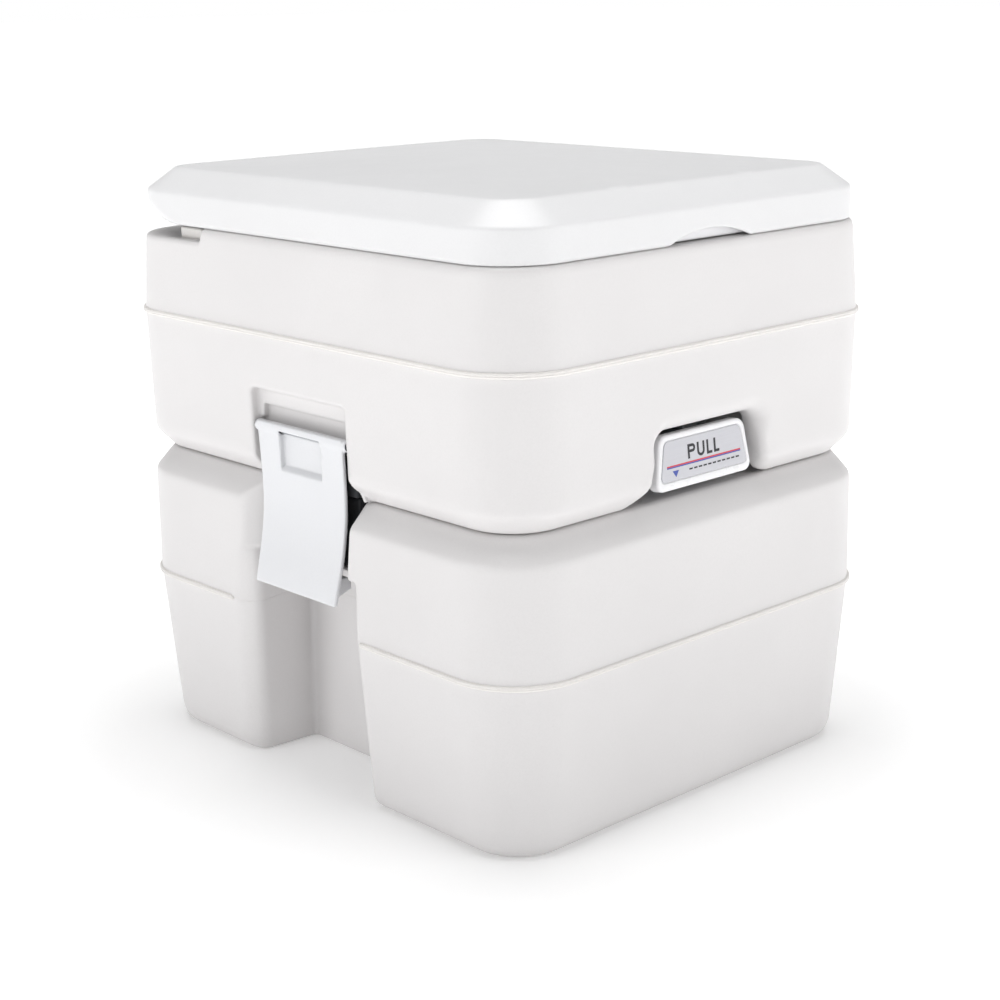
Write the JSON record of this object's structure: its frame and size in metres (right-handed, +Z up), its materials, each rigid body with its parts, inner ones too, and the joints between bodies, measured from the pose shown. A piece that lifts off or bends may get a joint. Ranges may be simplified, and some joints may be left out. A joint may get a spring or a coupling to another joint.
{
  "type": "portable camp toilet",
  "caption": "Portable two-tank camp toilet: flush tank with bowl, seat and lid, latched on a waste tank with slide valve and spout.",
  "frame": {"origin": "centre of the footprint's bounding box, on the ground", "axes": "+Z up; -Y is the front, with the pull handle of the slide valve; +Y is the rear, with the seat hinge and the spout; X runs across, between the side latches"},
  "size_m": [0.375, 0.415, 0.42],
  "materials": {
    "tank_plastic": "fine moulded texture",
    "lid_plastic": "fine moulded texture",
    "seat_plastic": "smooth",
    "latch_plastic": "smooth moulded",
    "handle_plastic": "smooth",
    "handle_label": "printed film",
    "bowl_plastic": "smooth",
    "seal_rubber": "soft",
    "valve_plastic": "moulded",
    "blade_plastic": "smooth, greased",
    "screw_steel": "zinc plated",
    "cap_plastic": "ribbed",
    "tube_plastic": "translucent hose",
    "bellows_rubber": "soft"
  },
  "bodies": {
    "waste_tank": {"lower_tank_bottom_shell": "tank_plastic", "lower_tank_top_shell": "tank_plastic", "valve_gasket": "seal_rubber", "valve_base": "valve_plastic", "blade_seal_lower": "seal_rubber", "blade_seal_upper": "seal_rubber", "valve_frame": "valve_plastic", "outlet_lip_seal": "seal_rubber", "valve_screw_1": "screw_steel", "valve_screw_2": "screw_steel", "valve_screw_3": "screw_steel", "valve_screw_4": "screw_steel", "valve_screw_5": "screw_steel", "valve_screw_6": "screw_steel", "spout_o_ring": "seal_rubber", "spout_collar": "cap_plastic"},
    "valve_slide": {"valve_blade": "blade_plastic", "pull_handle": "handle_plastic", "handle_label": "handle_label"},
    "spout": {"spout_elbow": "tank_plastic"},
    "spout_cap_slide": {"spout_cap_seal": "seal_rubber"},
    "spout_cap": {"spout_cap": "cap_plastic"},
    "vent_button": {"vent_button": "cap_plastic", "vent_seal": "seal_rubber", "vent_spring": "screw_steel"},
    "upper_unit": {"upper_tank_bottom_shell": "tank_plastic", "upper_tank_top_shell": "tank_plastic", "bowl": "bowl_plastic", "bowl_seal": "seal_rubber", "flush_nozzle": "cap_plastic", "flush_tube": "tube_plastic", "pump_base": "cap_plastic", "pump_bellows": "bellows_rubber", "hinge_block_left": "tank_plastic", "hinge_block_right": "tank_plastic", "hinge_pin_left": "screw_steel", "hinge_pin_right": "screw_steel", "latch_pin_left": "screw_steel", "latch_pin_right": "screw_steel"},
    "pump_button": {"pump_button": "cap_plastic"},
    "filler_cap_slide": {"filler_cap_seal": "seal_rubber"},
    "filler_cap": {"filler_cap": "cap_plastic"},
    "seat": {"seat": "seat_plastic", "seat_bumper_1": "seal_rubber", "seat_bumper_2": "seal_rubber", "seat_bumper_3": "seal_rubber", "seat_bumper_4": "seal_rubber"},
    "lid": {"lid": "lid_plastic", "lid_bumper_1": "seal_rubber", "lid_bumper_2": "seal_rubber"},
    "latch_left": {"latch_left": "latch_plastic"},
    "latch_right": {"latch_right": "latch_plastic"}
  },
  "joints": [
    {"name": "upper_unit_lift", "type": "slide", "parent": "waste_tank", "child": "upper_unit", "axis": [0, 0, 1], "range_m": [0, 0.25]},
    {"name": "valve_slide", "type": "slide", "parent": "waste_tank", "child": "valve_slide", "axis": [0, -1, 0], "range_m": [0, 0.12]},
    {"name": "spout_swivel", "type": "hinge", "parent": "waste_tank", "child": "spout", "pos_m": [-0.07, 0.178, 0.16], "axis": [0, 0, 1], "range_deg": [0, 110]},
    {"name": "spout_cap_travel", "type": "slide", "parent": "spout", "child": "spout_cap_slide", "axis": [1, 0, 0], "range_m": [0, 0.008]},
    {"name": "spout_cap_turn", "type": "hinge", "parent": "spout_cap_slide", "child": "spout_cap", "pos_m": [0.05, 0.178, 0.183], "axis": [1, 0, 0], "range_deg": [0, 720]},
    {"name": "vent_press", "type": "slide", "parent": "waste_tank", "child": "vent_button", "axis": [0, 0, -1], "range_m": [0, 0.003], "stiffness_N_per_m": 800, "springref_m": -0.002, "deforming": ["vent_spring"]},
    {"name": "pump_press", "type": "slide", "parent": "upper_unit", "child": "pump_button", "axis": [0, 0, -1], "range_m": [0, 0.018], "stiffness_N_per_m": 400, "springref_m": -0.005, "deforming": ["pump_bellows"]},
    {"name": "filler_cap_travel", "type": "slide", "parent": "upper_unit", "child": "filler_cap_slide", "axis": [0, 0, 1], "range_m": [0, 0.008]},
    {"name": "filler_cap_turn", "type": "hinge", "parent": "filler_cap_slide", "child": "filler_cap", "pos_m": [-0.134, -0.158, 0.38], "axis": [0, 0, 1], "range_deg": [0, 720]},
    {"name": "seat_hinge", "type": "hinge", "parent": "upper_unit", "child": "seat", "pos_m": [0, 0.181, 0.3957], "axis": [-1, 0, 0], "range_deg": [0, 92]},
    {"name": "lid_hinge", "type": "hinge", "parent": "seat", "child": "lid", "pos_m": [0, 0.181, 0.3957], "axis": [-1, 0, 0], "range_deg": [0, 93]},
    {"name": "latch_left_hinge", "type": "hinge", "parent": "upper_unit", "child": "latch_left", "pos_m": [-0.1745, 0, 0.25], "axis": [0, 1, 0], "range_deg": [0, 60]},
    {"name": "latch_right_hinge", "type": "hinge", "parent": "upper_unit", "child": "latch_right", "pos_m": [0.1745, 0, 0.25], "axis": [0, -1, 0], "range_deg": [0, 60]}
  ],
  "couplings": [
    {"joint": "filler_cap_travel", "follows": "filler_cap_turn", "m_per_rad": 0.00063662},
    {"joint": "spout_cap_travel", "follows": "spout_cap_turn", "m_per_rad": 0.00063662}
  ]
}
